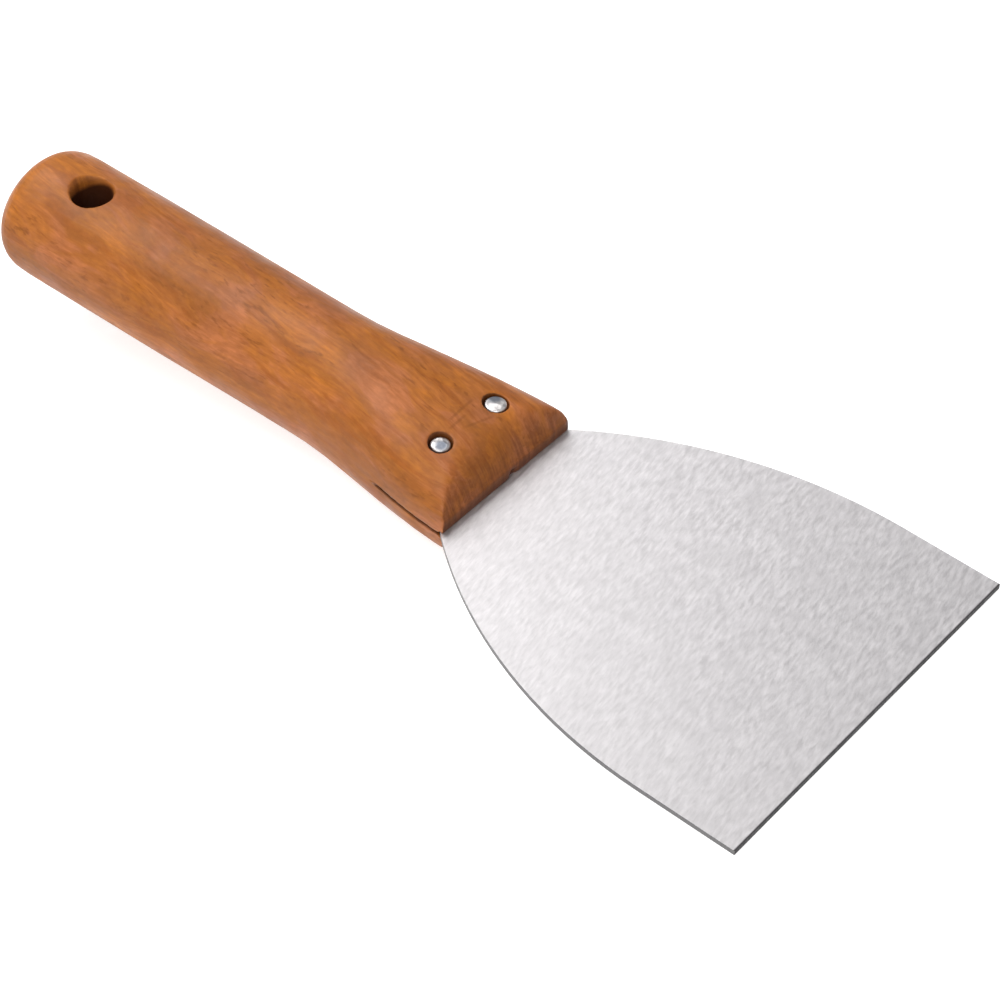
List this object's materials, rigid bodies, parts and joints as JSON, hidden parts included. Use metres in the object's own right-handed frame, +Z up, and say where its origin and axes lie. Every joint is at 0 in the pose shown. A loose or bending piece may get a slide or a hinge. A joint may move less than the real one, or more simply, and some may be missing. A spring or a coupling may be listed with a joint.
{
  "type": "drywall taping knife",
  "caption": "Drywall taping knife: a flat flared steel blade riveted into a turned hardwood handle with a hanging hole.",
  "frame": {"origin": "under the centre of the whole knife's bounding box, on the plane it rests on", "axes": "+X from the handle to the working edge, +Y across the blade, +Z up; the knife lies on its working edge and on the underside of its handle"},
  "size_m": [0.2046, 0.08, 0.0347],
  "materials": {
    "varnished_hardwood": "thin satin varnish over orange-brown hardwood, grain along the handle",
    "brushed_steel": "finely brushed, light grey, a little brighter towards the handle",
    "bright_rivet_metal": "bright, uneven hammered heads"
  },
  "bodies": {
    "root": {"handle": "varnished_hardwood", "blade": "brushed_steel", "rivet_left": "bright_rivet_metal", "rivet_right": "bright_rivet_metal"}
  },
  "joints": []
}
